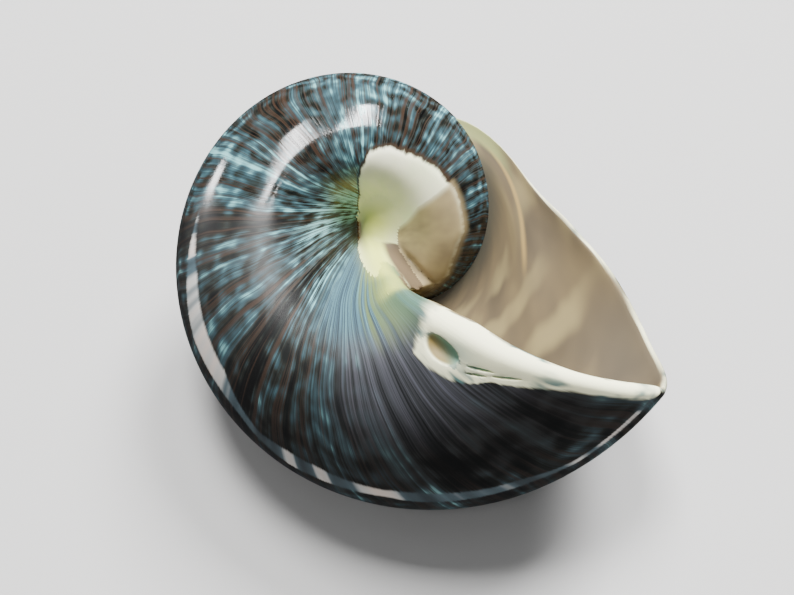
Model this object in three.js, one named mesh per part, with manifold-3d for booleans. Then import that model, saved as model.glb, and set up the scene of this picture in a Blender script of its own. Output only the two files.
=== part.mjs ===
// A turban shell with a keeled edge, lying on its spire with the aperture turned up.
// Millimetres and degrees. The shell is worked out in its own coil frame, apex at the origin
// and the coil axis along +Z towards the base, and then turned to the way it lies.
import * as THREE from "three";
import { mergeVertices } from "three/addons/utils/BufferGeometryUtils.js";
import Module from "manifold-3d";

// The section of the whorl at the lip: distance from the coil axis, height above the apex,
// and how far the lip runs ahead of the keel's tip there, in degrees round the axis.
const LIP_SECTION = [
  [8.2, 6.3, 84], // inside the keel of the turn before
  [9.7, 6.0, 78], // suture
  [12.9, 5.9, 42],
  [16.8, 6.8, 26], // shoulder
  [21.6, 9.8, 15],
  [26.4, 14.0, 6],
  [29.3, 17.1, 2],
  [30.0, 18.6, 0], // keel
  [29.5, 20.3, 0],
  [27.3, 23.0, -1],
  [23.1, 25.7, -3],
  [18.0, 27.2, -5], // crest of the base
  [13.2, 26.9, -6],
  [9.6, 24.5, -9],
  [7.1, 20.7, -16],
  [5.3, 15.9, -25],
  [3.4, 11.0, -38], // columella
  [2.6, 7.0, -55], // inside the plug
];
const SUTURE = 1; // places along the section, counted in its points
const KEEL = 7;
const CREST = 11;
const COLUMELLA = 16;
const TURN_GROWTH = 3.1; // each full turn is this many times as large as the one before
const PLUG_HEIGHT = 7.6; // callus that fills the umbilicus, at the axis
const PLUG_BLEND = 1.6; // how softly the funnel runs out into the callus
const WALL = 1.4; // thickness of the last half turn
const LIP_EDGE = 0.7; // thickness of the outer lip at its edge
const LIP_THINNING = 30; // the outer lip thins over this many degrees
const PAD = 1.5; // extra thickness of the white columellar lip
const PAD_LENGTH = 50; // the pad reaches this many degrees back from the lip
const HOLLOW_END = -190; // the hollow runs back to here, measured from the lip
const STRETCH = 190; // the solid turns are made in stretches of this many degrees
const ROOT_OVERLAP = 8; // the wall reaches this far into the solid turns
const CALLUS_AT = [0.3, 0.4, 7.4]; // the swelling of the callus over the axis
const CALLUS_RADII = [1.7, 3.6, 1.5];
const CALLUS_TURN = 24; // its long way, from +Y round the axis
const PIT_AT = [-18, 11.75]; // umbilical chink: angle, and place along the section
const PIT_RADII = [1.9, 1.0, 1.3]; // along the section, across it, and deep
const REST_TURN = -32; // turned about the coil axis, and then leant over, the shell lies at rest
const REST_LEAN = 22;
const WEAR = 0.3; // worn off the spots that it lies on

const wasm = await Module();
wasm.setup();

const sectionCurve = new THREE.CatmullRomCurve3(
  LIP_SECTION.map((point) => new THREE.Vector3(...point)),
  false,
  "catmullrom",
);

// Where the section is at a place along it, counted in its points.
function sectionAt(place) {
  return sectionCurve.getPoint(place / (LIP_SECTION.length - 1));
}

// Size of the whorl at an angle, against its size at the keel's tip.
function sizeAt(angle) {
  return TURN_GROWTH ** (angle / 360);
}

function softMax(a, b, blend) {
  return (a + b + Math.hypot(a - b, blend)) / 2;
}

// A point of the outer surface. Past the crest the section runs down into the umbilicus,
// which the callus fills up to a slope from the crest to the plug's height at the axis.
function surfacePoint(angle, place) {
  const section = sectionAt(place);
  const size = sizeAt(angle);
  const turn = THREE.MathUtils.degToRad(angle);
  const radius = size * section.x;
  let height = size * section.y;
  if (place > CREST && place <= COLUMELLA) {
    const inward = (place - CREST) / (COLUMELLA - CREST);
    const slope = THREE.MathUtils.lerp(size * LIP_SECTION[CREST][1], PLUG_HEIGHT, inward);
    height = softMax(height, slope, PLUG_BLEND * inward);
  }
  return new THREE.Vector3(radius * Math.cos(turn), radius * Math.sin(turn), height);
}

// The direction out of the whorl's wall.
function surfaceNormal(angle, place) {
  const last = LIP_SECTION.length - 1;
  const small = 0.02;
  const along = surfacePoint(angle, Math.min(place + small, last));
  along.sub(surfacePoint(angle, Math.max(place - small, 0)));
  const ahead = surfacePoint(angle + small, place).sub(surfacePoint(angle - small, place));
  return ahead.cross(along).normalize();
}

function range(from, to, steps) {
  return Array.from({ length: steps + 1 }, (_, i) => THREE.MathUtils.lerp(from, to, i / steps));
}

// A closed solid through rings of points, each ring one closed outline in the same order.
// The cap's triangles close the last ring, and the other way round the first.
function solidThroughRings(rings, cap) {
  const count = rings[0].length;
  const triangles = [];
  rings.slice(1).forEach((_, ring) => {
    for (let i = 0; i < count; i += 1) {
      const a = ring * count + i;
      const b = ring * count + ((i + 1) % count);
      triangles.push([a, b + count, b], [a, a + count, b + count]);
    }
  });
  const lastRing = (rings.length - 1) * count;
  cap.forEach(([a, b, c]) => {
    triangles.push([a, b, c], [a + lastRing, c + lastRing, b + lastRing]);
  });
  const geometry = new THREE.BufferGeometry();
  geometry.setFromPoints(rings.flat());
  geometry.setIndex(triangles.flat());
  return solidOf(geometry);
}

// A closed geometry as a solid, with its doubled points merged and empty triangles left out.
function solidOf(geometry) {
  const bare = new THREE.BufferGeometry();
  bare.setAttribute("position", geometry.getAttribute("position"));
  bare.setIndex(geometry.getIndex());
  const merged = mergeVertices(bare, 1e-4);
  const corners = merged.getIndex().array;
  const kept = [];
  for (let i = 0; i < corners.length; i += 3) {
    const [a, b, c] = corners.slice(i, i + 3);
    if (a !== b && b !== c && c !== a) {
      kept.push(a, b, c);
    }
  }
  const vertProperties = new Float32Array(merged.getAttribute("position").array);
  const triVerts = new Uint32Array(kept);
  return new wasm.Manifold(new wasm.Mesh({ numProp: 3, vertProperties, triVerts }));
}

function geometryOf(solid) {
  const { vertProperties, triVerts } = solid.getMesh();
  const geometry = new THREE.BufferGeometry();
  geometry.setAttribute("position", new THREE.BufferAttribute(vertProperties, 3));
  geometry.setIndex(new THREE.BufferAttribute(triVerts, 1));
  return geometry;
}

// A filled stretch of the whorl, closed to the coil axis, counted back from where the hollow ends.
// Its bottom lies inside the turn before.
function filledStretch(number, steps, places, topHeight) {
  const end = HOLLOW_END - number * STRETCH;
  const rings = range(end - STRETCH, end, steps).map((angle) => {
    const bottom = sizeAt(angle) * LIP_SECTION[SUTURE][1];
    return [
      new THREE.Vector3(0, 0, bottom),
      ...places.map((place) => surfacePoint(angle, place)),
      new THREE.Vector3(0, 0, topHeight(angle)),
    ];
  });
  const outline = rings.at(-1).map((point) => {
    return new THREE.Vector2(Math.hypot(point.x, point.y), point.z);
  });
  return solidThroughRings(rings, THREE.ShapeUtils.triangulateShape(outline, []));
}

// The turns before the last half turn, which show as the spire and as the callus of the base.
function spire() {
  const wholeSection = range(SUTURE, COLUMELLA, 2 * (COLUMELLA - SUTURE));
  const spireSide = range(SUTURE, CREST, CREST - SUTURE);
  const plugTop = () => PLUG_HEIGHT;
  const crestTop = (angle) => sizeAt(angle) * LIP_SECTION[CREST][1];
  const stretches = [
    filledStretch(0, 20, wholeSection, plugTop),
    filledStretch(1, 20, wholeSection, plugTop),
    filledStretch(2, 18, spireSide, crestTop),
    filledStretch(3, 16, spireSide, crestTop),
    filledStretch(4, 14, spireSide, crestTop),
    filledStretch(5, 12, spireSide, crestTop),
  ];
  return stretches.reduce((joined, stretch) => joined.add(stretch));
}

// Thickness of the wall at a place along the section and so many degrees behind the lip.
function wallAt(place, behind) {
  const { smoothstep, lerp } = THREE.MathUtils;
  const outerLip = 1 - smoothstep(place, KEEL, KEEL + 2);
  const nearEdge = 1 - smoothstep(behind, 0, LIP_THINNING);
  const thinned = lerp(WALL, LIP_EDGE, outerLip * nearEdge);
  const padded = smoothstep(place, CREST - 1.5, CREST + 1) * (1 - smoothstep(behind, 0, PAD_LENGTH));
  return thinned + PAD * padded;
}

// The last half turn: a bent sheet whose edge is the lip. Each ring follows the growth lines more
// closely the nearer it is to the lip. The first ring is thin and lies inside the solid turns.
function lastHalfTurn() {
  const end = LIP_SECTION.length - 1;
  const places = range(0, end, 2 * end);
  const growthRing = (angleAt, outerDepth, innerDepth) => {
    const side = (depth) => (place) => {
      const angle = angleAt(place);
      const behind = sectionAt(place).z - angle;
      const inward = -depth * wallAt(place, behind);
      return surfacePoint(angle, place).addScaledVector(surfaceNormal(angle, place), inward);
    };
    return [...places.map(side(outerDepth)), ...places.map(side(innerDepth)).reverse()];
  };
  const root = growthRing(() => HOLLOW_END - ROOT_OVERLAP, 0.4, 0.6);
  const grown = range(0, 1, 36).map((growth) => {
    const angleAt = (place) => THREE.MathUtils.lerp(HOLLOW_END, sectionAt(place).z, growth);
    const lipBevel = growth === 1 ? 0.3 : 0;
    return growthRing(angleAt, lipBevel, 1);
  });
  const cap = [];
  for (let i = 0; i < places.length - 1; i += 1) {
    const across = 2 * places.length - 1 - i;
    cap.push([i, i + 1, across - 1], [i, across - 1, across]);
  }
  return solidThroughRings([root, ...grown], cap);
}

// The low swelling of the callus where the inner lip runs over the umbilicus.
function callusSwelling() {
  const swelling = new THREE.SphereGeometry(1, 20, 12);
  swelling.scale(...CALLUS_RADII);
  swelling.rotateZ(THREE.MathUtils.degToRad(CALLUS_TURN));
  swelling.translate(...CALLUS_AT);
  return solidOf(swelling);
}

// The small oval pit in the white lip beside the umbilicus.
function umbilicalChink() {
  const [angle, place] = PIT_AT;
  const along = surfacePoint(angle, place + 0.1).sub(surfacePoint(angle, place - 0.1)).normalize();
  const out = surfaceNormal(angle, place);
  const across = new THREE.Vector3().crossVectors(out, along);
  const pit = new THREE.SphereGeometry(1, 16, 10);
  pit.scale(...PIT_RADII);
  pit.applyMatrix4(new THREE.Matrix4().makeBasis(along, across, out));
  pit.translate(...surfacePoint(angle, place).toArray());
  return solidOf(pit);
}

// The largest body of a solid, without the empty slivers left where faces coincided.
function mainBody(solid) {
  return solid.decompose().reduce((main, body) => (body.volume() > main.volume() ? body : main));
}

// Everything under the worn spots, down to well below the shell.
function underWornSpots(lowest) {
  const reach = 4 * LIP_SECTION[KEEL][0];
  const block = new THREE.BoxGeometry(reach, reach, reach);
  block.translate(0, 0, lowest + WEAR - reach / 2);
  return solidOf(block);
}

function lyingShell() {
  const grown = spire().add(callusSwelling()).add(lastHalfTurn()).subtract(umbilicalChink());
  const lying = geometryOf(mainBody(grown));
  lying.rotateZ(THREE.MathUtils.degToRad(REST_TURN));
  lying.rotateX(THREE.MathUtils.degToRad(REST_LEAN));
  lying.computeBoundingBox();
  const worn = solidOf(lying).subtract(underWornSpots(lying.boundingBox.min.z));
  const geometry = geometryOf(mainBody(worn));
  geometry.computeVertexNormals();
  return geometry;
}

const polishedShell = new THREE.MeshStandardMaterial({
  color: 0x6f8790,
  roughness: 0.25,
  metalness: 0,
});
const shell = new THREE.Mesh(lyingShell(), polishedShell);
shell.name = "shell";
const box = new THREE.Box3().setFromObject(shell, true);
const centre = box.getCenter(new THREE.Vector3());
shell.position.set(-centre.x, -centre.y, -box.min.z);

const turbanShell = new THREE.Group();
turbanShell.add(shell);

export default turbanShell;
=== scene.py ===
import math

import bmesh
import bpy
import numpy as np
from mathutils import Matrix, Vector
from mathutils.kdtree import KDTree


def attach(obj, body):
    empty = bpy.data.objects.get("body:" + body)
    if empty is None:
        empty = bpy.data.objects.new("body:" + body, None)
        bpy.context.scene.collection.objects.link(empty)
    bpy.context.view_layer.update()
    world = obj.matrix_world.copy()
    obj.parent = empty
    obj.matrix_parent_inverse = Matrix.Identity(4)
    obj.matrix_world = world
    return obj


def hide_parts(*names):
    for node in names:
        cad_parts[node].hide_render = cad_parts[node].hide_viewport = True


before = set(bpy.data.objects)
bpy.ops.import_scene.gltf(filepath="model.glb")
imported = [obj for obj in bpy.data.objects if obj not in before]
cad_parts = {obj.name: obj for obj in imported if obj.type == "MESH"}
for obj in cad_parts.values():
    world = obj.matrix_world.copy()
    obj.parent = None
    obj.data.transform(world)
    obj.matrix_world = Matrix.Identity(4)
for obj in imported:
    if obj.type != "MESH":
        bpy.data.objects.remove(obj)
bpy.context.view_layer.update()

# The shell is worked out in its coil frame, in millimetres and degrees: the apex at the origin,
# the coil axis along +Z towards the base. Then it is turned to the way it lies.
MM = 0.001

# The section of the whorl at the lip: distance from the coil axis, height above the apex,
# and how far the lip runs ahead of the keel's tip there.
LIP_SECTION = np.array([
    (8.2, 6.3, 84),    # inside the keel of the turn before
    (9.7, 6.0, 78),    # suture
    (12.9, 5.9, 42),
    (16.8, 6.8, 26),   # shoulder
    (21.6, 9.8, 15),
    (26.4, 14.0, 6),
    (29.3, 17.1, 2),
    (30.0, 18.6, 0),   # keel
    (29.5, 20.3, 0),
    (27.3, 23.0, -1),
    (23.1, 25.7, -3),
    (18.0, 27.2, -5),  # crest of the base
    (13.2, 26.9, -6),
    (9.6, 24.5, -9),
    (7.1, 20.7, -16),
    (5.3, 15.9, -25),
    (3.4, 11.0, -38),  # columella
    (2.6, 7.0, -55),   # inside the plug
])
SUTURE = 1
KEEL = 7
CREST = 11
COLUMELLA = 16
SECTION_END = len(LIP_SECTION) - 1
PLACE_LENGTH = 4.8         # from one point of the section to the next, about, at the lip

# The spiral, and the callus that fills its axis.
TURN_GROWTH = 3.1          # how many times larger a turn is than the one before
PLUG_HEIGHT = 7.6          # the callus on the axis, above the apex
PLUG_BLEND = 1.6           # how softly the whorl runs into it
STRETCH = 190              # the length of each solid stretch of the earlier turns
STRETCH_STEPS = (130, 100, 80, 60, 40, 30)
STRETCHES_WITH_PLUG = 2

# The last half turn, a sheet round an open hollow.
HOLLOW_END = -190          # the angle at which the hollow ends
ROOT_OVERLAP = 8           # how far the sheet is rooted in the turns before
ROOT_DEPTHS = (0.4, 0.6)   # the sheet's two sides at its root, as shares of the wall
WALL = 1.4
LIP_EDGE = 0.7             # the wall at the edge of the outer lip
LIP_THINNING = 30          # how far back it thins
PAD = 1.5                  # what the inner lip is thicker by
PAD_LENGTH = 50            # how far back that fades
SUTURE_THINNING = 0.4      # the share of the wall left where it lies on the turn before
SMALLEST_RADIUS = 6.0      # the rim is rounded as if no nearer to the axis than this

# The way it lies, and how much is worn off where it lies.
REST_TURN = -32
REST_LEAN = 22
WEAR = 0.3

# The swelling of the callus over the axis: across it, a point at the left foot, one on the crest
# and one at the right foot, from the inner lip up to the turn before.
SWELLING = np.array([
    ((5.60, -3.70, 17.60), (6.20, -3.00, 18.40), (6.65, -3.53, 7.10)),
    ((3.59, -4.31, 13.00), (5.10, -3.05, 15.00), (6.08, -3.16, 7.50)),
    ((1.78, -3.72, 11.20), (3.72, -2.87, 13.40), (5.22, -2.60, 7.88)),
    ((0.57, -3.06, 9.80), (2.26, -2.43, 11.20), (4.27, -1.94, 8.10)),
    ((-0.86, -2.03, 7.80), (0.70, -1.50, 9.30), (3.44, -1.32, 8.13)),
    ((-1.65, -0.88, 7.50), (-0.01, -0.49, 8.90), (2.79, -0.59, 8.14)),
    ((-1.99, 0.36, 7.90), (-0.31, 0.74, 8.90), (2.27, 0.38, 8.25)),
    ((-2.33, 1.90, 9.30), (-0.38, 2.23, 9.15), (2.50, 1.81, 8.90)),
    ((-2.66, 3.55, 11.10), (0.08, 3.81, 10.35), (3.32, 3.62, 9.50)),
    ((-2.01, 5.77, 11.60), (0.49, 5.48, 10.80), (3.86, 5.00, 9.40)),
])
SWELLING_DEPTH = 6.0       # how deep its feet are sunk
FIRST_DEPTH = 4.2          # how deep the right foot is sunk at the lip, where the spire is thin
DEEP_FROM = 2.5            # the row from which the right foot is sunk all the way
FOOT_OVERLAP = 0.6         # how far the right foot runs in under the turn before
SWELLING_TOP = 5.4         # the row up to which it is yellow, with a brown left foot
YELLOW_REACH = 1.1         # how far the yellow spreads from the crest
BROWN_REACH = 0.3          # how far the brown spreads from the left foot
CREASE_SHADE_TOP = 3.2             # the row up to which painted shade darkens the nacre along the right foot
CREASE_SHADE_REACH = 0.7           # how far that spreads

# The callus glazes the turn before from here inwards: angle, and place along the section.
CALLUS_EDGE = np.array([
    (-390, 9.2), (-371, 9.33), (-359, 9.66), (-347, 9.81), (-338, 9.72), (-329, 9.87), (-317, 10.05),
    (-307, 10.2), (-295, 10.5), (-282, 10.74), (-274, 10.98), (-263, 11.13), (-254, 11.4),
    (-248, 11.67), (-243, 12.27), (-235, 13.05), (-222, 14.5), (-195, 15.8), (-190, 16.5),
])
CALLUS_RELIEF = 0.16
GLAZE_START = -420

# Further in, the glaze is nacre from the callus edge up to here. The last rows are its top.
NACRE_EDGE = np.array([
    (-420, 12.0), (-402, 14.0), (-393, 16.0), (-387, 16.0), (-375, 16.0), (-351, 15.5),
    (-326, 13.08), (-313, 12.06), (-309, 10.9), (-303, 9.4), (-290, 8.0),
])
NACRE_TOP = NACRE_EDGE[-6:][::-1]
NACRE_OVERRUN = 0.1        # how far it runs past the callus edge, in millimetres

# The white of the lip reaches so many degrees back from its edge, by place along the section.
WHITE_REACH = np.array([
    (7.9, 1.0), (8.2, 1.7), (9.2, 2.4), (9.85, 3.3), (10.2, 4.7), (10.56, 7.0), (10.87, 10.2),
    (11.07, 14.8), (11.34, 17.6), (11.72, 19.9), (12.0, 20.8), (12.37, 15.5), (12.7, 7.0),
    (13.0, 3.0), (13.4, -1.0), (16.0, -4.0),
])
WHITE_ON_SPIRE_SIDE = 0.12   # before the first of these places
WHITE_INSIDE = 0.4         # the most on the inner side of the wall

# The pale cord round the edge of the base: angle behind the lip, place, and half its width.
CORD = np.array([
    (-420, 9.6, -0.5), (-190, 9.6, -0.2), (-150, 9.6, 0.1), (-136, 9.6, 0.28), (-120, 9.42, 0.4),
    (-104, 9.45, 0.33), (-95, 9.25, 0.18), (-88, 9.0, 0.2), (-80, 8.95, 0.34), (-72, 9.0, 0.3),
    (-55, 8.95, 0.17), (-48, 8.85, 0.26), (-26, 8.6, 0.16), (-18, 8.3, 0.1), (-5, 8.22, 0.1),
    (0, 8.1, 0.06),
])

# Hollows in the white lip: two ends, each a growth and a place, half the width, the depth, and
# the lean. The first is the pit beside the umbilicus, the others are cracks.
LIP_CUTS = (
    ((-12.5, 12.18), (-11.5, 11.38), 1.05, 0.8, -20),
    ((-10.0, 11.31), (-6.5, 10.9), 0.13, 0.4, 0),
    ((-12.0, 11.22), (-8.6, 10.93), 0.11, 0.4, 0),
    ((-8.2, 10.92), (-4.7, 10.53), 0.12, 0.4, 0),
)
PIT_COLOUR_DEPTHS = (0.08, 0.4)    # where a hollow's own colour starts, and where it is full

# How far the creases are softened, in millimetres, and in how many rounds.
SWELLING_SOFTENING = (1.3, 60)
CUT_SOFTENING = (0.45, 12)
SOFTENING_SHARE = 0.6

# How finely the pieces are divided.
LIP_RINGS = 210
LIP_ROUNDING_RINGS = 6
PLACES_PER_POINT = 7
SPIRE_PLACES_PER_POINT = 4
SWELLING_RINGS = 36
SWELLING_POINTS = 24
LINE_POINTS = 60
CUT_SEGMENTS = 48
CUT_ROWS = 32
SHARP_ANGLE = 42

# What a corner of the mesh belongs to, kept in its second map.
OUTSIDE = 0.0
INSIDE = 1.0
EARLIER_TURNS = 2.0
CUT = 3.0
WORN = 4.0
SWOLLEN = 5.0

# A depth that counts as all the way inside a zone of colour, in millimetres.
FULL_DEPTH = 3.0

# The finish: the polish, what dulls it, and the fine relief of the growth lines.
POLISH_ROUGHNESS = 0.1
LATE_DULLNESS = 0.4        # on the last half turn
CALLUS_DULLNESS = 0.25     # on the callus and the nacre
RELIEF_STRENGTH = 0.12
RELIEF_HEIGHT = 0.2
SEED_STEP = 7.3            # how far apart two noises are taken

# The camera, from the apex, in the way the shell lies.
CAMERA_FROM_APEX = (28.74, -41.79, 105.37)
AIM_FROM_APEX = (2.50, -11.20, 10.0)
CAMERA_ROLL = -43.83
CAMERA_LENS = 52.28
CAMERA_SENSOR = 36
CAMERA_NEAR = 0.005        # in metres

# The lights: two directions between which a strip is hung, its width in metres, its power in
# watts, and whether it is seen only in reflections.
LIGHT_DISTANCE = 0.8       # in metres
LIGHTS = (
    ("window_high", (-0.04, 0.60, 0.79), (0.28, 0.55, 0.79), 0.22, 15, False),
    ("window_right", (0.36, 0.74, 0.56), (0.64, 0.53, 0.56), 0.22, 21, False),
    ("ceiling", (-0.25, -0.15, 0.96), (0.30, -0.25, 0.92), 0.30, 1.1, False),
    ("glint_left", (-0.17, 0.44, 0.88), (0.07, 0.07, 0.995), 0.05, 5.0, True),
    ("glint_right", (0.25, 0.55, 0.80), (0.26, 0.11, 0.96), 0.045, 7.0, True),
    ("glint_rim", (-0.77, 0.54, 0.35), (-0.86, 0.41, 0.30), 0.12, 2.0, True),
)
SKY_COLOUR = (0.93, 0.96, 1.0, 1)
SKY_STRENGTH = 0.10
FLOOR_REACH = 0.6          # in metres
FLOOR_COLOUR = (0.52, 0.515, 0.51, 1)
FLOOR_ROUGHNESS = 0.9


def curve_through(rows, at):
    """Points of a smooth curve through rows of numbers, at places counted in rows."""
    end = len(rows) - 1
    padded = np.concatenate([2 * rows[:1] - rows[1:2], rows, 2 * rows[-1:] - rows[-2:-1]])
    at = np.clip(np.asarray(at, float), 0, end)
    start = np.minimum(np.floor(at).astype(int), end - 1)
    u = (at - start).reshape(at.shape + (1,) * (rows.ndim - 1))
    a, b, c, d = (padded[start + i] for i in range(4))
    return b + 0.5 * u * (c - a + u * (2 * a - 5 * b + 4 * c - d + u * (3 * (b - c) + d - a)))


def section_at(place):
    """Radius, height and lead of the section at the lip."""
    return curve_through(LIP_SECTION, place)


def size_at(angle):
    """The size of the section at an angle, 1 at the lip's keel."""
    return TURN_GROWTH ** (np.asarray(angle, float) / 360)


def soft_max(a, b, blend):
    """The larger of two numbers, rounded where they cross."""
    return 0.5 * (a + b + np.hypot(a - b, blend))


def surface_points(angle, place):
    """The outer surface. Past the crest the callus fills the umbilicus up to a slope."""
    section = section_at(place)
    size = size_at(angle)
    turn = np.radians(angle)
    radius = size * section[..., 0]
    height = size * section[..., 1]
    inward = np.clip((place - CREST) / (COLUMELLA - CREST), 0, 1)
    slope = size * LIP_SECTION[CREST, 1] * (1 - inward) + PLUG_HEIGHT * inward
    filled = (place > CREST) & (place <= COLUMELLA)
    height = np.where(filled, soft_max(height, slope, PLUG_BLEND * inward), height)
    return np.stack([radius * np.cos(turn), radius * np.sin(turn), height], -1)


def surface_normals(angle, place):
    """Unit vectors that point out of the outer surface."""
    small = 0.02
    along = surface_points(angle, np.minimum(place + small, SECTION_END))
    along = along - surface_points(angle, np.maximum(place - small, 0))
    ahead = surface_points(angle + small, place) - surface_points(angle - small, place)
    normal = np.cross(ahead, along)
    return normal / np.linalg.norm(normal, axis=-1, keepdims=True)


def smooth_step(value, low, high):
    """Rises smoothly from 0 at low to 1 at high."""
    x = np.clip((value - low) / (high - low), 0, 1)
    return x * x * (3 - 2 * x)


def wall_at(place, behind):
    """Thickness of the last half turn, so many degrees behind the lip."""
    outer_lip = 1 - smooth_step(place, KEEL, KEEL + 2)
    near_edge = 1 - smooth_step(behind, 0, LIP_THINNING)
    thinned = WALL + (LIP_EDGE - WALL) * outer_lip * near_edge
    padded = smooth_step(place, CREST - 1.5, CREST + 1) * (1 - smooth_step(behind, 0, PAD_LENGTH))
    on_turn_before = 1 - smooth_step(place, SUTURE, SUTURE + 2)
    return (thinned + PAD * padded) * (1 + (SUTURE_THINNING - 1) * on_turn_before)


def callus_depth(angle, place):
    """How far a point of the turn before lies inside the callus, in millimetres."""
    inside = place - np.interp(angle, CALLUS_EDGE[:, 0], CALLUS_EDGE[:, 1])
    reach = np.minimum(inside, 3) * PLACE_LENGTH * size_at(angle)
    return np.where((angle > GLAZE_START) & (angle < HOLLOW_END + 0.1), reach, -9.0)


class Ring:
    """One closed outline of a growing solid, with what each of its points belongs to."""

    def __init__(self, points, growth, place, side):
        self.points = points
        self.growth = growth
        self.place = place
        self.side = side


def mark_layers(bm):
    """Layers for the growth and the place of each vertex, and for what it belongs to."""
    return [bm.verts.layers.float.new(key) for key in ("growth", "place", "side")]


def grow_solid(name, rings, close_last=True):
    """A closed solid: the first outline is extruded on to each of the next ones in turn."""
    bm = bmesh.new()
    order = bm.verts.layers.int.new("order")
    marks = mark_layers(bm)

    def settle(verts, ring):
        for vert in verts:
            i = vert[order]
            vert.co = ring.points[i]
            for layer, values in zip(marks, (ring.growth, ring.place, ring.side)):
                vert[layer] = values[i]

    verts = [bm.verts.new(point) for point in rings[0].points]
    for i, vert in enumerate(verts):
        vert[order] = i
    settle(verts, rings[0])
    cap = bm.faces.new(verts)
    edges = list(cap.edges)
    for ring in rings[1:]:
        grown = bmesh.ops.extrude_edge_only(bm, edges=edges)["geom"]
        verts = [item for item in grown if isinstance(item, bmesh.types.BMVert)]
        settle(verts, ring)
        fresh = set(verts)
        edges = [item for item in grown if isinstance(item, bmesh.types.BMEdge)
                 and item.verts[0] in fresh and item.verts[1] in fresh]
    if close_last:
        bm.faces.new(sorted(verts, key=lambda vert: vert[order]))
    bmesh.ops.remove_doubles(bm, verts=bm.verts, dist=1e-4)
    bmesh.ops.triangulate(bm, faces=[face for face in bm.faces if len(face.verts) > 4])
    bmesh.ops.recalc_face_normals(bm, faces=bm.faces)
    return finish_mesh(name, bm, marks)


def finish_mesh(name, bm, marks):
    """Turns a bmesh into an object, with the marks of its vertices kept in two corner maps."""
    grown_map = bm.loops.layers.uv.new("growth")
    side_map = bm.loops.layers.uv.new("side")
    growth, place, side = marks
    for face in bm.faces:
        for loop in face.loops:
            vert = loop.vert
            loop[grown_map].uv = (vert[growth], vert[place])
            loop[side_map].uv = (vert[side], 0)
    mesh = bpy.data.meshes.new(name)
    bm.to_mesh(mesh)
    bm.free()
    piece = bpy.data.objects.new(name, mesh)
    bpy.context.scene.collection.objects.link(piece)
    return piece


def filled_stretch(number, steps, places, top_height):
    """A stretch of the earlier turns, filled to the coil axis."""
    end = HOLLOW_END - number * STRETCH
    rings = []
    for angle in np.linspace(end - STRETCH, end, steps + 1):
        angles = np.full(len(places), angle)
        bottom = (0, 0, size_at(angle) * LIP_SECTION[SUTURE, 1])
        top = (0, 0, top_height(angle))
        glaze = CALLUS_RELIEF * smooth_step(callus_depth(angles, places), -0.15, 0.5)
        surface = surface_points(angles, places) + glaze[:, None] * surface_normals(angles, places)
        points = np.vstack([bottom, surface, top])
        growth = angle - section_at(places)[:, 2]
        growth = np.concatenate([growth[:1], growth, growth[-1:]])
        place = np.concatenate([places[:1], places, places[-1:]])
        rings.append(Ring(points, growth, place, np.full(len(points), EARLIER_TURNS)))
    return grow_solid("stretch", rings)


def earlier_turns():
    """The turns behind the last half turn, as solid stretches end to end."""
    whole = np.linspace(SUTURE, COLUMELLA, PLACES_PER_POINT * (COLUMELLA - SUTURE) + 1)
    spire_side = np.linspace(SUTURE, CREST, SPIRE_PLACES_PER_POINT * (CREST - SUTURE) + 1)

    def crest_top(angle):
        return size_at(angle) * LIP_SECTION[CREST, 1]

    def plug_top(angle):
        return PLUG_HEIGHT

    stretches = []
    for number, steps in enumerate(STRETCH_STEPS):
        if number < STRETCHES_WITH_PLUG:
            stretches.append(filled_stretch(number, steps, whole, plug_top))
        else:
            stretches.append(filled_stretch(number, steps, spire_side, crest_top))
    return stretches


def last_half_turn():
    """A bent sheet whose edge is the lip, with a rounded rim."""
    places = np.linspace(0, SECTION_END, PLACES_PER_POINT * SECTION_END + 1)
    lead = section_at(places)[:, 2]

    def growth_ring(angle, outer_depth, inner_depth):
        behind = lead - angle
        wall = wall_at(places, behind)[:, None]
        surface = surface_points(angle, places)
        normal = surface_normals(angle, places)
        outer = surface - outer_depth * wall * normal
        inner = (surface - inner_depth * wall * normal)[::-1]
        side = np.repeat((OUTSIDE, INSIDE), len(places))
        both = np.concatenate([np.arange(len(places)), np.arange(len(places))[::-1]])
        return Ring(np.vstack([outer, inner]), -behind[both], places[both], side)

    rings = [growth_ring(np.full(len(places), HOLLOW_END - ROOT_OVERLAP), *ROOT_DEPTHS)]
    rim_radius = 0.5 * wall_at(places, 0 * places)
    reach = np.degrees(rim_radius / np.maximum(section_at(places)[:, 0], SMALLEST_RADIUS))
    for share in np.linspace(0, 1, LIP_RINGS + 1):
        rings.append(growth_ring(HOLLOW_END + share * (lead - reach - HOLLOW_END), 0.0, 1.0))
    for step in range(1, LIP_ROUNDING_RINGS + 1):
        bend = 0.5 * math.pi * step / LIP_ROUNDING_RINGS
        depth = 0.5 * (1 - math.cos(bend))
        rings.append(growth_ring(lead + reach * (math.sin(bend) - 1), depth, 1 - depth))
    return grow_solid("last_half_turn", rings, close_last=False)


def callus_swelling():
    """The rounded ridge of callus that carries the inner lip over the axis.

    Its growth is ten times the row, and its place runs from -1 at the left foot to 1.
    """
    across = np.linspace(-1, 1, SWELLING_POINTS)[:, None]
    rings = []
    for at in np.linspace(0, len(SWELLING) - 1, SWELLING_RINGS + 1):
        left, crest, right = curve_through(SWELLING, np.array(at))
        straight = 0.5 * (left + right) + 0.5 * across * (right - left)
        top = straight + (1 - across ** 2) * (crest - 0.5 * (left + right))
        width = right - left
        right = right + FOOT_OVERLAP * width / np.linalg.norm(width[:2]) * (1, 1, 0)
        right_depth = np.interp(at, (0.0, DEEP_FROM), (FIRST_DEPTH, SWELLING_DEPTH))
        below = np.array([right - (0, 0, right_depth), left - (0, 0, SWELLING_DEPTH)])
        points = np.vstack([top, below])
        growth = np.full(len(points), 10 * at)
        place = np.concatenate([across[:, 0], (1, -1)])
        rings.append(Ring(points, growth, place, np.full(len(points), SWOLLEN)))
    return grow_solid("swelling", rings)


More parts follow.
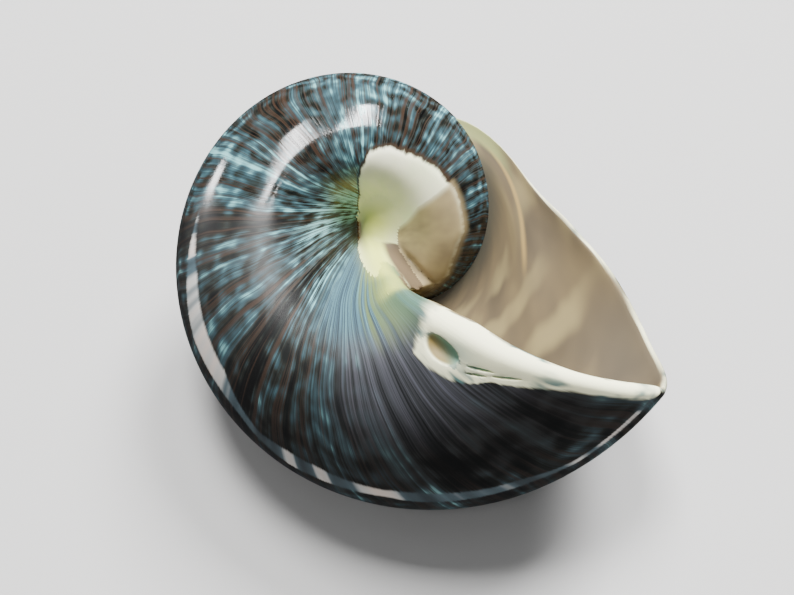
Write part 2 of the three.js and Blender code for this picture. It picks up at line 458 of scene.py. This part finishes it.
def lip_cut(one_end, other_end, half_width, depth, lean):
    """A hollow in the white lip between two ends, each a growth and a place; it can lean over."""
    ends = np.array([one_end, other_end], float)
    growth, place = ends.mean(0)
    angles = ends[:, 0] + section_at(ends[:, 1])[:, 2]
    angle = growth + section_at(place)[2]
    points = surface_points(angles, ends[:, 1])
    centre = Vector(surface_points(angle, place))
    out = Vector(surface_normals(angle, place))
    along = Vector(points[1] - points[0])
    half_length = 0.5 * along.length
    along = (along - out * along.dot(out)).normalized()
    turned = Matrix((along, out.cross(along), out)).transposed().to_4x4()
    leaning = Matrix.Rotation(math.radians(lean), 4, along)
    by_growth = Vector(surface_points(angle + 1, place) - surface_points(angle - 1, place)) / 2
    by_place = Vector(surface_points(angle, place + 0.1) - surface_points(angle, place - 0.1)) / 0.2
    bm = bmesh.new()
    marks = mark_layers(bm)
    ball = bmesh.ops.create_uvsphere(bm, u_segments=CUT_SEGMENTS, v_segments=CUT_ROWS, radius=1)["verts"]
    bmesh.ops.scale(bm, vec=(half_length, half_width, depth), verts=ball)
    bmesh.ops.transform(bm, matrix=leaning @ turned, verts=ball)
    for vert in ball:
        further = vert.co.dot(by_place) / by_place.length_squared
        grown = growth + vert.co.dot(by_growth) / by_growth.length_squared
        for layer, value in zip(marks, (grown, place + further, CUT)):
            vert[layer] = value
    bmesh.ops.translate(bm, vec=centre, verts=ball)
    return finish_mesh("lip_cut", bm, marks)


def under_worn_spots(lowest):
    """A block that takes off what is worn where the shell lies."""
    bm = bmesh.new()
    marks = mark_layers(bm)
    reach = 4 * LIP_SECTION[KEEL, 0]
    block = bmesh.ops.create_cube(bm, size=reach)["verts"]
    bmesh.ops.translate(bm, vec=(0, 0, lowest + WEAR - reach / 2), verts=block)
    for vert in block:
        vert[marks[2]] = WORN
    return finish_mesh("under", bm, marks)


def combine(piece, others, operation):
    """Joins the others to a piece, or cuts them from it, and leaves the others out."""
    for other in others:
        cut = piece.modifiers.new(operation, "BOOLEAN")
        cut.operation = operation
        cut.solver = "MANIFOLD"
        cut.object = other
    shaped = piece.evaluated_get(bpy.context.evaluated_depsgraph_get())
    mesh = bpy.data.meshes.new_from_object(shaped)
    piece.modifiers.clear()
    piece.data = mesh
    for other in others:
        bpy.data.objects.remove(other)
    return piece


def corner_vertices(mesh):
    numbers = np.empty(len(mesh.loops), int)
    mesh.loops.foreach_get("vertex_index", numbers)
    return numbers


def corner_map(mesh, name):
    values = np.empty(2 * len(mesh.loops))
    mesh.uv_layers[name].uv.foreach_get("vector", values)
    return values.reshape(-1, 2)


def corner_sides(mesh):
    return np.round(corner_map(mesh, "side")[:, 0])


def vertex_spots(mesh):
    spots = np.empty(3 * len(mesh.vertices))
    mesh.vertices.foreach_get("co", spots)
    return spots.reshape(-1, 3)


def soften_seam(piece, kind, reach, rounds):
    """Rounds the crease round one kind of side, out to a reach from it."""
    mesh = piece.data
    corner_vertex = corner_vertices(mesh)
    of_kind = corner_sides(mesh) == kind
    seam = np.intersect1d(corner_vertex[of_kind], corner_vertex[~of_kind])
    spots = vertex_spots(mesh)
    near = KDTree(len(seam))
    for number, spot in enumerate(spots[seam]):
        near.insert(spot, number)
    near.balance()
    away = np.array([near.find(spot)[2] for spot in spots])
    share = SOFTENING_SHARE * (1 - smooth_step(away, 0, reach))
    ends = np.empty(2 * len(mesh.edges), int)
    mesh.edges.foreach_get("vertices", ends)
    ends = ends.reshape(-1, 2)
    ends = ends[(share[ends] > 0).any(1)]
    ends = np.vstack([ends, ends[:, ::-1]])
    neighbours = np.maximum(np.bincount(ends[:, 0], minlength=len(spots)), 1)
    for _ in range(rounds):
        middle = np.column_stack([
            np.bincount(ends[:, 0], spots[ends[:, 1], axis], len(spots)) for axis in range(3)])
        spots += share[:, None] * (middle / neighbours[:, None] - spots)
    mesh.vertices.foreach_set("co", spots.ravel())


def lying_shell():
    """The finished shell as it lies, in metres, and how far it was shifted, in millimetres."""
    stretches = earlier_turns()
    piece = combine(stretches[0], stretches[1:] + [callus_swelling(), last_half_turn()], "UNION")
    piece = combine(piece, [lip_cut(*cut) for cut in LIP_CUTS], "DIFFERENCE")
    soften_seam(piece, SWOLLEN, *SWELLING_SOFTENING)
    soften_seam(piece, CUT, *CUT_SOFTENING)
    lie = Matrix.Rotation(math.radians(REST_LEAN), 4, "X")
    lie = lie @ Matrix.Rotation(math.radians(REST_TURN), 4, "Z")
    piece.data.transform(lie)
    lowest = min(vert.co.z for vert in piece.data.vertices)
    piece = combine(piece, [under_worn_spots(lowest)], "DIFFERENCE")
    corners = np.array([vert.co for vert in piece.data.vertices])
    low, high = corners.min(0), corners.max(0)
    shift = Vector((-0.5 * (low[0] + high[0]), -0.5 * (low[1] + high[1]), -low[2]))
    piece.data.transform(Matrix.Scale(MM, 4) @ Matrix.Translation(shift))
    piece.name = "turban_shell"
    placed = Matrix.Scale(MM, 4) @ Matrix.Translation(shift) @ lie
    mark_zones(piece, placed.inverted())
    return piece, shift


def nearness_to_swelling(points, across, top, reach):
    """1 on the left foot, crest or right foot line up to a row, and less away from it."""
    line = curve_through(SWELLING[:, across], np.linspace(0, top, LINE_POINTS))
    nearest = np.full(len(points), 99.0)
    for spot in line:
        nearest = np.minimum(nearest, np.linalg.norm(points - spot, axis=1))
    return np.exp(-(nearest / reach) ** 2)


def nacre_depth(angle, place):
    """How far a point of the turn before lies inside its patch of nacre, in millimetres."""
    size = size_at(angle)
    step = PLACE_LENGTH * size
    degree = np.radians(1) * size * section_at(place)[:, 0]
    from_edge = (np.interp(angle, NACRE_EDGE[:, 0], NACRE_EDGE[:, 1]) - place) * step
    last_angle = np.interp(place, NACRE_TOP[:, 1], NACRE_TOP[:, 0])
    under_top = angle > NACRE_TOP[-1, 0]
    from_top = np.where(under_top, (last_angle - angle) * degree, FULL_DEPTH)
    from_callus = callus_depth(angle, place) + NACRE_OVERRUN
    return np.minimum(np.minimum(from_edge, from_top), from_callus)


def mark_zones(piece, to_coil):
    """Writes each corner's depth in the zones of colour, in millimetres, or its share of them."""
    mesh = piece.data
    corner_vertex = corner_vertices(mesh)
    spots = vertex_spots(mesh)
    flat = np.column_stack([spots, np.ones(len(spots))])
    coil = (flat @ np.array(to_coil).T)[:, :3]
    yellow = nearness_to_swelling(coil, 1, SWELLING_TOP, YELLOW_REACH)
    foot = nearness_to_swelling(coil, 0, SWELLING_TOP, BROWN_REACH)
    # Painted shade along the crease at the swelling's right foot.
    crease_shade = nearness_to_swelling(coil, 2, CREASE_SHADE_TOP, CREASE_SHADE_REACH)
    growth, place = corner_map(mesh, "growth").T
    side = corner_sides(mesh)
    outside, inside, earlier = side == OUTSIDE, side == INSIDE, side == EARLIER_TURNS
    swollen = side == SWOLLEN
    angle = growth + section_at(place)[:, 2]
    size = size_at(angle)
    step = PLACE_LENGTH * size
    degree = np.radians(1) * size * section_at(place)[:, 0]

    # The callus and the nacre. On the swelling, the nacre is right of the crest, up to row 5 or so.
    covered = np.where(swollen, FULL_DEPTH, -FULL_DEPTH)
    covered = np.where(earlier, callus_depth(angle, place), covered)
    nacre = np.where(inside, FULL_DEPTH, -FULL_DEPTH)
    nacre = np.where(earlier, nacre_depth(angle, place), nacre)
    right_flank = 4 * (place - 0.4) - 5 * smooth_step(growth, 42, 54)
    nacre = np.where(swollen, right_flank, nacre)

    # The white of the lip, and the hollows in it.
    reach = np.interp(place, WHITE_REACH[:, 0], WHITE_REACH[:, 1], left=WHITE_ON_SPIRE_SIDE)
    reach = np.where(outside, reach, np.minimum(reach, WHITE_INSIDE))
    white = np.where(side == CUT, 1.0, -FULL_DEPTH)
    white = np.where(outside | inside, (reach + growth) * degree, white)
    below = surface_points(angle, place) - coil[corner_vertex]
    cut_depth = np.einsum("ij,ij->i", below, surface_normals(angle, place))
    pit = np.where(side == CUT, smooth_step(cut_depth, *PIT_COLOUR_DEPTHS), 0.0)

    cord_place, cord_half = (np.interp(growth, CORD[:, 0], CORD[:, i]) for i in (1, 2))
    cord = (cord_half - np.abs(place - cord_place)) * step
    zones = {
        "cover": covered,
        "nacre": nacre,
        "white": white,
        "cord": np.where(outside | earlier, cord, -FULL_DEPTH),
        "yellow": yellow[corner_vertex],
        "foot": foot[corner_vertex],
        "crease_shade": crease_shade[corner_vertex],
        "pit": pit,
        # inner picks the nacre's copies: 0 a lighter one on the turn before (painted light), 1 inside, 2
        # a darker one on the swelling (painted shade).
        "inner": np.where(inside, 1.0, np.where(swollen, 2.0, 0.0)),
    }
    for name, values in zones.items():
        attribute = mesh.attributes.new(name, "FLOAT", "CORNER")
        values = np.clip(values, -FULL_DEPTH, FULL_DEPTH)
        attribute.data.foreach_set("value", values.astype(np.float32))
    mesh.uv_layers.remove(mesh.uv_layers["side"])


def colour(red, green, blue):
    """A colour from its sRGB codes, 0 to 255, as the shader takes it."""
    screen = np.array((red, green, blue)) / 255
    linear = np.where(screen < 0.04045, screen / 12.92, ((screen + 0.055) / 1.055) ** 2.4)
    return (*linear, 1.0)


class Shader:
    """A material whose nodes are added and joined in turn."""

    def __init__(self, name):
        self.material = bpy.data.materials.new(name)
        self.material.use_nodes = True
        self.tree = self.material.node_tree
        self.surface = self.tree.nodes["Principled BSDF"]

    def put(self, socket, value):
        """Joins another node's output to a socket, or sets the socket to a fixed value."""
        if isinstance(value, bpy.types.NodeSocket):
            self.tree.links.new(value, socket)
        else:
            socket.default_value = value

    def math(self, operation, *values):
        node = self.tree.nodes.new("ShaderNodeMath")
        node.operation = operation
        for socket, value in zip(node.inputs, values):
            self.put(socket, value)
        return node.outputs[0]

    def add(self, *values):
        total = values[0]
        for value in values[1:]:
            total = self.math("ADD", total, value)
        return total

    def times(self, *values):
        total = values[0]
        for value in values[1:]:
            total = self.math("MULTIPLY", total, value)
        return total

    def scaled(self, noise, factor):
        """How far noise lies from its middle, times a factor."""
        return self.math("MULTIPLY", self.math("SUBTRACT", noise, 0.5), factor)

    def step(self, value, low, high):
        """Rises smoothly from 0 at low to 1 at high; low may be the larger."""
        node = self.tree.nodes.new("ShaderNodeMapRange")
        node.interpolation_type = "SMOOTHSTEP"
        self.put(node.inputs["Value"], value)
        self.put(node.inputs["From Min"], low)
        self.put(node.inputs["From Max"], high)
        return node.outputs["Result"]

    def between(self, value, low, high, soft):
        """1 between low and high, with soft ends."""
        rise = self.step(value, low - soft, low + soft)
        return self.times(rise, self.step(value, high + soft, high - soft))

    def mix(self, share, first, second):
        node = self.tree.nodes.new("ShaderNodeMix")
        node.data_type = "RGBA"
        self.put(node.inputs[0], share)
        self.put(node.inputs[6], first)
        self.put(node.inputs[7], second)
        return node.outputs[2]

    def blotches(self, x, y, seed, detail=1.0):
        """Noise over two values, from 0 to 1."""
        place = self.tree.nodes.new("ShaderNodeCombineXYZ")
        self.put(place.inputs[0], x)
        self.put(place.inputs[1], y)
        place.inputs[2].default_value = SEED_STEP * seed
        node = self.tree.nodes.new("ShaderNodeTexNoise")
        node.inputs["Scale"].default_value = 1.0
        node.inputs["Detail"].default_value = detail
        self.tree.links.new(place.outputs[0], node.inputs["Vector"])
        return node.outputs[0]

    def ramp(self, value, stops):
        """A colour from a row of stops, each a value and its colour."""
        node = self.tree.nodes.new("ShaderNodeValToRGB")
        elements = node.color_ramp.elements
        while len(elements) < len(stops):
            elements.new(0.5)
        for element, (at, tone) in zip(elements, stops):
            element.position = at
            element.color = tone
        self.put(node.inputs[0], value)
        return node.outputs[0]

    def attribute(self, name):
        node = self.tree.nodes.new("ShaderNodeAttribute")
        node.attribute_name = name
        return node.outputs["Fac"]


class GrowthLines:
    """Growth in degrees from the lip, place along the section, and noise that follows both."""

    def __init__(self, shader):
        times, add, scaled = shader.times, shader.add, shader.scaled
        grown = shader.tree.nodes.new("ShaderNodeUVMap")
        grown.uv_map = "growth"
        parts = shader.tree.nodes.new("ShaderNodeSeparateXYZ")
        shader.put(parts.inputs[0], grown.outputs[0])
        growth, place = parts.outputs[0], parts.outputs[1]

        # Growth lines wander a little, and rows round the whorl slip.
        wander = shader.blotches(times(growth, 0.05), times(place, 0.5), 1)
        slip = shader.blotches(times(growth, 0.10), times(place, 0.4), 2)
        line = add(growth, scaled(wander, 6.0))
        row = add(place, scaled(slip, 0.5))
        self.growth = growth
        self.place = place
        self.line = line
        self.row = row
        self.rays = shader.blotches(times(line, 0.11), times(place, 0.06), 3)
        self.fine_rays = shader.blotches(times(line, 0.42), times(place, 0.13), 13, 2.0)
        self.cells = shader.blotches(times(line, 0.22), times(row, 2.1), 4)
        self.striae = shader.blotches(times(line, 1.4), times(place, 0.16), 5, 3.0)
        self.hairs = shader.blotches(times(line, 4.5), times(place, 0.40), 6, 2.0)


# In the zones of colour, limits of growth are in degrees from the lip, less than 0 behind it, and
# limits of place are counted along the section.
def whorl_pattern(shader, lines):
    """Blue cells in brown and black rays, darker towards the lip, streaky in the umbilicus."""
    growth, place, striae = lines.growth, lines.place, lines.striae
    scaled, step, times, mix = shader.scaled, shader.step, shader.times, shader.mix
    late = step(growth, -120, -30)
    middle = times(step(growth, -185, -150), step(growth, -60, -100))
    oldest = step(growth, -235, -275)
    streaky = step(place, 12.0, 14.0)
    bands = shader.math("SINE", times(lines.row, 2 * math.pi / 0.62))
    value = shader.add(
        0.59, scaled(lines.rays, 1.2), scaled(lines.fine_rays, 0.9), scaled(lines.cells, 1.1),
        times(bands, 0.06), scaled(striae, 0.8), scaled(lines.hairs, 0.5), times(late, -0.25),
        times(middle, -0.15), times(oldest, -0.16), times(streaky, 0.12),
        times(streaky, scaled(striae, 1.2)))
    pattern = shader.ramp(value, (
        (0.00, colour(6, 6, 6)), (0.22, colour(17, 21, 20)), (0.36, colour(33, 33, 28)),
        (0.48, colour(39, 50, 51)), (0.62, colour(46, 66, 73)), (0.78, colour(62, 91, 97)),
        (1.0, colour(119, 175, 177))))
    deep = times(step(place, 13.0, 14.6), step(growth, -110, -150), step(value, 0.45, 0.75))
    pattern = mix(times(deep, 0.6), pattern, colour(182, 246, 247))
    brown = times(step(striae, 0.49, 0.58), step(lines.fine_rays, 0.60, 0.44), 0.8)
    pattern = mix(brown, pattern, colour(53, 39, 30))
    black_zone = times(step(growth, -80, -30), step(place, 12.6, 11.5), step(place, 8.9, 9.6))
    black = shader.ramp(value, (
        (0.1, colour(5, 5, 5)), (0.3, colour(19, 17, 17)), (0.55, colour(43, 42, 42))))
    return mix(times(black_zone, 0.85), pattern, black)


def with_slate_sheen(shader, lines, pattern):
    """Just outside the white of the lip, a painted sheen of slate grey-blue, broken by dark growth
    lines.
    """
    growth, place = lines.growth, lines.place
    scaled, step = shader.scaled, shader.step
    zone = shader.times(step(growth, -70, -40), step(place, 9.9, 11.4), step(place, 13.4, 12.4))
    # Painted sheen: the grey-blue stands in for reflections on the dark glossy shell; the dark lines are
    # its own.
    sheen = shader.ramp(shader.add(0.5, scaled(lines.striae, 1.8), scaled(lines.hairs, 0.8)), (
        (0.1, colour(22, 22, 24)), (0.45, colour(66, 68, 72)), (0.8, colour(94, 95, 106))))
    return shader.mix(shader.times(zone, 0.85), pattern, sheen)


def with_funnel(shader, lines, pattern):
    """The pale blue funnel, with fine lines, and yellow green streaks towards the lip."""
    growth, place = lines.growth, lines.place
    scaled, step, times, mix = shader.scaled, shader.step, shader.times, shader.mix
    funnel = shader.ramp(shader.add(0.5, scaled(lines.striae, 2.0), scaled(lines.hairs, 1.6)), (
        (0.12, colour(41, 50, 55)), (0.4, colour(53, 74, 87)), (0.6, colour(65, 94, 106)),
        (0.85, colour(87, 126, 126))))
    streaks = step(shader.blotches(times(lines.line, 0.2), times(place, 0.2), 7), 0.38, 0.56)
    greenish = times(step(growth, -50, -34), step(growth, -2, -12), streaks)
    funnel = mix(times(greenish, 0.75), funnel, colour(96, 111, 61))
    funnel = mix(times(step(growth, -22, -10), 0.6), funnel, colour(76, 106, 82))
    pale = times(step(place, 12.0, 13.1), step(growth, -84, -60))
    return mix(pale, pattern, funnel)


def with_cord(shader, lines, pattern):
    """The broken pale cord round the base."""
    tone = shader.ramp(shader.blotches(shader.times(lines.growth, 0.13), 0.0, 8), (
        (0.36, colour(59, 74, 81)), (0.46, colour(85, 107, 117)), (0.52, colour(212, 212, 208)),
        (0.66, colour(245, 226, 212))))
    depth = shader.add(shader.attribute("cord"), shader.scaled(lines.hairs, 0.5))
    return shader.mix(shader.times(shader.step(depth, -0.15, 0.3), 0.9), pattern, tone)


def with_callus(shader, lines, pattern):
    """The callus, yellow along the swelling, with a brown edge and a brown left foot."""
    times, mix = shader.times, shader.mix
    yellow = shader.attribute("yellow")
    cloud = shader.blotches(times(lines.growth, 0.05), times(lines.place, 0.6), 9, 2.0)
    callus = shader.ramp(cloud, (
        (0.3, colour(238, 244, 201)), (0.5, colour(246, 247, 210)), (0.7, colour(247, 247, 217))))
    callus = mix(shader.math("POWER", yellow, 0.25), callus, colour(218, 225, 127))
    ragged = shader.add(
        shader.attribute("cover"), shader.scaled(lines.striae, 0.3), shader.scaled(lines.cells, 0.8))
    edge = shader.between(ragged, -0.35, 0.15, 0.16)
    pattern = mix(times(edge, 0.8), pattern, colour(57, 45, 34))
    pattern = mix(shader.step(ragged, -0.1, 0.35), pattern, callus)
    pattern = mix(times(yellow, 0.85), pattern, colour(198, 204, 98))
    return mix(times(shader.attribute("foot"), 0.75), pattern, colour(148, 113, 69))


def with_nacre(shader, lines, pattern):
    """Nacre in the aperture, on the swelling and on the turn before, with pale spiral streaks and
    painted light and shade: shade deep inside, along the swelling's right foot and on the swelling, a
    highlight line, and a lighter copy on the turn before.
    """
    growth, place = lines.growth, lines.place
    step, times, mix = shader.step, shader.times, shader.mix
    inner = shader.attribute("inner")
    veil = shader.blotches(times(growth, 0.05), times(place, 0.6), 10, 2.0)
    spirals = shader.math("COSINE", times(shader.add(lines.row, -1.85), 2 * math.pi / 0.96))
    broken = step(shader.blotches(times(growth, 0.05), times(place, 0.7), 11), 0.38, 0.66)
    tone = shader.ramp(veil, (
        (0.3, colour(83, 73, 57)), (0.45, colour(96, 84, 64)), (0.58, colour(108, 94, 69)),
        (0.72, colour(127, 112, 78))))
    tone = mix(times(step(spirals, -0.4, 1.0), broken, 0.6), tone, colour(154, 139, 95))
    # Painted shade: darker grey deep in the aperture, near the suture.
    shade_far_in = times(step(place, 1.6, 0.9), step(growth, -10, -24))
    tone = mix(times(shade_far_in, 0.8), tone, colour(58, 58, 50))
    # Painted highlight: a pale line along the inner shoulder of the whorl.
    highlight_line = shader.between(shader.add(place, times(growth, 0.061)), 0.62, 0.86, 0.15)
    highlight_line = times(highlight_line, shader.between(growth, -25, -9, 3))
    tone = mix(times(highlight_line, 0.8), tone, colour(177, 147, 86))
    rim = times(step(place, 1.75, 1.35), shader.between(growth, -11, 4, 3))
    tone = mix(times(rim, 0.8), tone, colour(147, 153, 96))
    # Painted shade: a darker copy of the nacre on the swelling's right flank, which faces the light.
    tone = mix(step(inner, 1.2, 1.8), tone, colour(98, 84, 64))
    # Painted light: the nacre on the turn before is a lighter copy, which lifts the shade it lies in.
    patch_tone_lit = shader.ramp(veil, ((0.3, colour(137, 122, 93)), (0.7, colour(174, 157, 114))))
    tone = mix(inner, patch_tone_lit, tone)
    # Painted shade: the nacre darker along the crease at the swelling's right foot.
    tone = mix(times(shader.attribute("crease_shade"), 0.75), tone, colour(64, 55, 43))
    return mix(step(shader.attribute("nacre"), -0.6, 0.6), pattern, tone)


def with_lip(shader, lines, pattern):
    """The white lip, with painted blue-green shade near its edge and beside the pit, and the pit in it.
    """
    growth, place = lines.growth, lines.place
    step, times, mix, between = shader.step, shader.times, shader.mix, shader.between
    white = shader.attribute("white")
    # Painted shade: blue-green patches on the white, near its edge.
    blue_shade = step(shader.blotches(times(growth, 0.35), times(place, 1.3), 12, 2.0), 0.46, 0.64)
    blue_shade = times(blue_shade, step(white, 2.4, 0.2))
    tone = mix(blue_shade, colour(247, 247, 207), colour(83, 119, 117))
    # Painted shade: blue-green on the white beside the pit.
    shade_beside_pit = times(between(growth, -11, -5, 3), between(place, 11.3, 11.9, 0.3))
    tone = mix(times(shade_beside_pit, 0.45), tone, colour(83, 135, 135))
    softness = shader.add(0.25, times(step(place, 11.9, 12.6), 1.6))
    on_lip = step(shader.add(white, shader.scaled(lines.striae, 0.8)), -0.15, softness)
    pattern = mix(on_lip, pattern, tone)
    pit_tone = mix(step(growth, -15, -9), colour(155, 133, 73), colour(119, 169, 151))
    return mix(shader.attribute("pit"), pattern, pit_tone)


def shell_material():
    """Polished shell: fine relief along the growth lines, duller towards the lip."""
    shader = Shader("polished_shell")
    lines = GrowthLines(shader)
    step, times, add = shader.step, shader.times, shader.add
    pattern = whorl_pattern(shader, lines)
    for with_zone in (with_slate_sheen, with_funnel, with_cord, with_callus, with_nacre, with_lip):
        pattern = with_zone(shader, lines, pattern)
    shader.put(shader.surface.inputs["Base Color"], pattern)

    nacre, cover = shader.attribute("nacre"), shader.attribute("cover")
    smooth_zone = shader.math("MAXIMUM", step(nacre, -0.2, 0.2), step(cover, -0.2, 0.2))
    late = step(lines.growth, -172, -145)
    dull = shader.math("MAXIMUM", times(late, LATE_DULLNESS), times(smooth_zone, CALLUS_DULLNESS))
    shader.put(shader.surface.inputs["Roughness"], add(POLISH_ROUGHNESS, dull))
    in_umbilicus = step(lines.place, 11.4, 12.4)
    relief = times(add(lines.striae, times(lines.hairs, 0.3)), add(0.25, in_umbilicus))
    bump = shader.tree.nodes.new("ShaderNodeBump")
    bump.inputs["Strength"].default_value = RELIEF_STRENGTH
    bump.inputs["Distance"].default_value = RELIEF_HEIGHT * MM
    shader.put(bump.inputs["Height"], times(relief, shader.math("SUBTRACT", 1.0, smooth_zone)))
    shader.put(shader.surface.inputs["Normal"], bump.outputs[0])
    return shader.material


def polish(piece):
    """Smooth shading, sharp only at true edges, and the one material."""
    mesh = piece.data
    mesh.polygons.foreach_set("use_smooth", np.ones(len(mesh.polygons), bool))
    mesh.set_sharp_from_angle(angle=math.radians(SHARP_ANGLE))
    mesh.materials.clear()
    mesh.materials.append(shell_material())


def add_floor():
    bm = bmesh.new()
    bmesh.ops.create_grid(bm, x_segments=1, y_segments=1, size=FLOOR_REACH)
    mesh = bpy.data.meshes.new("floor")
    bm.to_mesh(mesh)
    bm.free()
    floor = bpy.data.objects.new("floor", mesh)
    bpy.context.scene.collection.objects.link(floor)
    material = bpy.data.materials.new("floor_paper")
    material.use_nodes = True
    shader = material.node_tree.nodes["Principled BSDF"]
    shader.inputs["Base Color"].default_value = FLOOR_COLOUR
    shader.inputs["Roughness"].default_value = FLOOR_ROUGHNESS
    mesh.materials.append(material)
    floor.visible_glossy = False


def add_area_light(name, one_end, other_end, width, power, mirrored):
    """A strip of light between two directions, facing the shell.

    It is seen only in reflections if mirrored, and otherwise never in them.
    """
    one_end = LIGHT_DISTANCE * Vector(one_end).normalized()
    other_end = LIGHT_DISTANCE * Vector(other_end).normalized()
    data = bpy.data.lights.new(name, "AREA")
    data.shape = "RECTANGLE"
    data.size = (other_end - one_end).length
    data.size_y = width
    data.energy = power
    light = bpy.data.objects.new(name, data)
    light.visible_diffuse = not mirrored
    light.visible_glossy = mirrored
    middle = 0.5 * (one_end + other_end)
    along = (other_end - one_end).normalized()
    facing = (middle - along * middle.dot(along)).normalized()
    turned = Matrix((along, facing.cross(along), facing)).transposed().to_4x4()
    light.matrix_world = Matrix.Translation(middle) @ turned
    bpy.context.scene.collection.objects.link(light)


def add_lights():
    world = bpy.data.worlds.new("studio")
    world.use_nodes = True
    background = world.node_tree.nodes["Background"]
    background.inputs["Color"].default_value = SKY_COLOUR
    background.inputs["Strength"].default_value = SKY_STRENGTH
    bpy.context.scene.world = world
    for light in LIGHTS:
        add_area_light(*light)


def add_camera(shift):
    camera_data = bpy.data.cameras.new("camera")
    camera_data.lens = CAMERA_LENS
    camera_data.sensor_width = CAMERA_SENSOR
    camera = bpy.data.objects.new("camera", camera_data)
    place = (Vector(CAMERA_FROM_APEX) + shift) * MM
    aim = (Vector(AIM_FROM_APEX) + shift) * MM
    level = (aim - place).to_track_quat("-Z", "Y").to_matrix().to_4x4()
    rolled = level @ Matrix.Rotation(math.radians(CAMERA_ROLL), 4, "Z")
    camera.matrix_world = Matrix.Translation(place) @ rolled
    camera_data.clip_start = CAMERA_NEAR
    bpy.context.scene.collection.objects.link(camera)
    bpy.context.scene.camera = camera


shell, shift = lying_shell()
polish(shell)
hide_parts("shell")
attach(shell, "root")
add_floor()
add_lights()
add_camera(shift)
